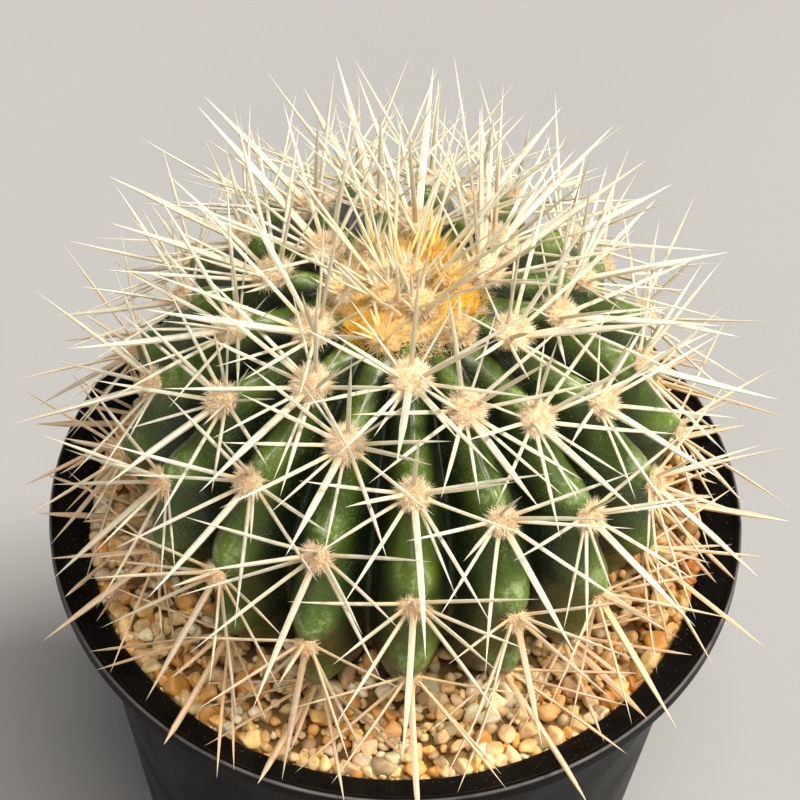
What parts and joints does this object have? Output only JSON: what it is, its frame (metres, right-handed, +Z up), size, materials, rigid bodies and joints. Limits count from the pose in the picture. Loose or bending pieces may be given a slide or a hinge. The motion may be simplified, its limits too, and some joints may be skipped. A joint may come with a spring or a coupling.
{
  "type": "potted round cactus",
  "caption": "Round ribbed cactus with long ivory spines and a woolly crown, standing in gravel in a round black plastic pot.",
  "frame": {"origin": "centre of the pot's flat underside", "axes": "+Z up through the pot and the plant; -Y towards the side shown in the picture"},
  "size_m": [0.1346, 0.1349, 0.1855],
  "materials": {
    "pot": "smooth black plastic with a soft sheen, dusty inside the rim",
    "soil": "dry dark potting mix",
    "gravel": "dry cream, pale yellow and amber grains",
    "cactus": "firm waxy green skin with fine pale specks",
    "crown_wool": "fine cream and golden plant wool"
  },
  "bodies": {
    "root": {"pot": "pot", "soil": "soil", "gravel": "gravel", "cactus": "cactus", "crown_wool": "crown_wool"}
  },
  "joints": []
}
